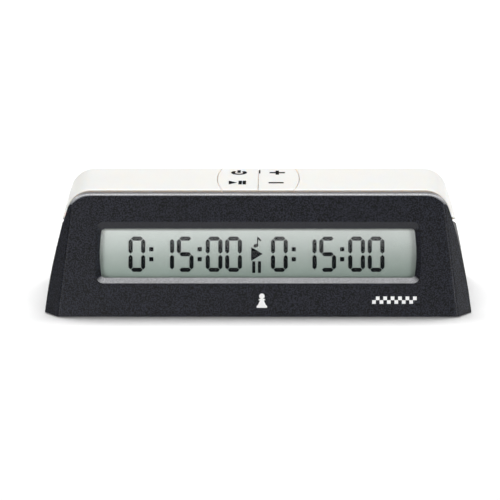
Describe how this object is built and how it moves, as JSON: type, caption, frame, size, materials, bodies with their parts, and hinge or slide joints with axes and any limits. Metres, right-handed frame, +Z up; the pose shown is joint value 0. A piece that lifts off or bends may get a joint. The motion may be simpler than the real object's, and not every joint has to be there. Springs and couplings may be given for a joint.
{
  "type": "digital chess clock",
  "caption": "Low digital chess clock with a sloping black bezel, a long display window, large rocking white player keys and small function keys along the top.",
  "frame": {"origin": "centre of the footprint at the height of the feet", "axes": "+X to the right seen from the display side, the display faces -Y, +Z up"},
  "size_m": [0.15, 0.0542, 0.0416],
  "materials": {
    "black_bezel": "fine sparked grain, satin black",
    "black_plastic": "moulded black, fine texture",
    "white_plastic": "smooth warm white, soft satin",
    "silicone": "translucent grey silicone",
    "foot_rubber": "matt black rubber",
    "steel": "zinc plated steel",
    "board": "green solder mask",
    "clear_lens": "clear polished plastic",
    "display_glass": "display glass with polariser",
    "reflector": "pale grey-green reflector",
    "cell_sleeve": "printed plastic sleeve",
    "component_black": "moulded epoxy",
    "red_wire": "PVC insulation",
    "black_wire": "PVC insulation",
    "ribbon": "flat flexible cable"
  },
  "bodies": {
    "clock_body": {"base_plate": "black_plastic", "base_screws": "steel", "battery_cell": "cell_sleeve", "buzzer": "component_black", "buzzer_wires": "black_wire", "capacitors": "component_black", "cell_wire_negative": "black_wire", "cell_wire_positive": "red_wire", "chip_cover": "component_black", "contact_strip_high": "foot_rubber", "contact_strip_low": "foot_rubber", "display_board": "board", "display_board_screws": "steel", "display_front_glass": "display_glass", "display_holder": "black_plastic", "display_rear_glass": "display_glass", "display_reflector": "reflector", "foot_front_left": "foot_rubber", "foot_front_right": "foot_rubber", "foot_rear_left": "foot_rubber", "foot_rear_right": "foot_rubber", "front_bezel": "black_bezel", "front_dome_left": "silicone", "front_dome_right": "silicone", "function_pin": "steel", "inner_frame": "black_plastic", "key_board": "board", "key_board_screws": "steel", "lower_housing": "black_plastic", "negative_contact": "steel", "player_dome_left": "silicone", "player_dome_right": "silicone", "player_pin_left": "steel", "player_pin_right": "steel", "positive_contact": "steel", "rear_dome_left": "silicone", "rear_dome_right": "silicone", "rear_panel": "white_plastic", "rear_panel_screws": "steel", "ribbon_cable": "ribbon", "ribbon_socket": "component_black", "timing_crystal": "steel", "window_lens": "clear_lens"},
    "player_key_left": {"player_key_left": "white_plastic"},
    "player_key_right": {"player_key_right": "white_plastic"},
    "function_key_left": {"function_key_left": "white_plastic"},
    "function_key_right": {"function_key_right": "white_plastic"},
    "battery_door": {"battery_door": "black_plastic"}
  },
  "joints": [
    {"name": "player_key_left_press", "type": "hinge", "parent": "clock_body", "child": "player_key_left", "pos_m": [0, 0.0155, 0.0375], "axis": [1, 0, 0], "range_deg": [0, 2.75], "stiffness_Nm_per_rad": 0.3, "springref_deg": -2.86, "deforming": ["player_dome_left"]},
    {"name": "player_key_right_press", "type": "hinge", "parent": "clock_body", "child": "player_key_right", "pos_m": [0, 0.0155, 0.0375], "axis": [1, 0, 0], "range_deg": [0, 2.75], "stiffness_Nm_per_rad": 0.3, "springref_deg": -2.86, "deforming": ["player_dome_right"]},
    {"name": "function_key_left_rock", "type": "hinge", "parent": "clock_body", "child": "function_key_left", "pos_m": [0, 0.0046, 0.0379], "axis": [1, 0, 0], "range_deg": [-2.5, 2.5], "stiffness_Nm_per_rad": 0.2, "deforming": ["front_dome_left", "rear_dome_left"]},
    {"name": "function_key_right_rock", "type": "hinge", "parent": "clock_body", "child": "function_key_right", "pos_m": [0, 0.0046, 0.0379], "axis": [1, 0, 0], "range_deg": [-2.5, 2.5], "stiffness_Nm_per_rad": 0.2, "deforming": ["front_dome_right", "rear_dome_right"]},
    {"name": "battery_door_slide", "type": "slide", "parent": "clock_body", "child": "battery_door", "axis": [0, 1, 0], "range_m": [0, 0.024]}
  ]
}
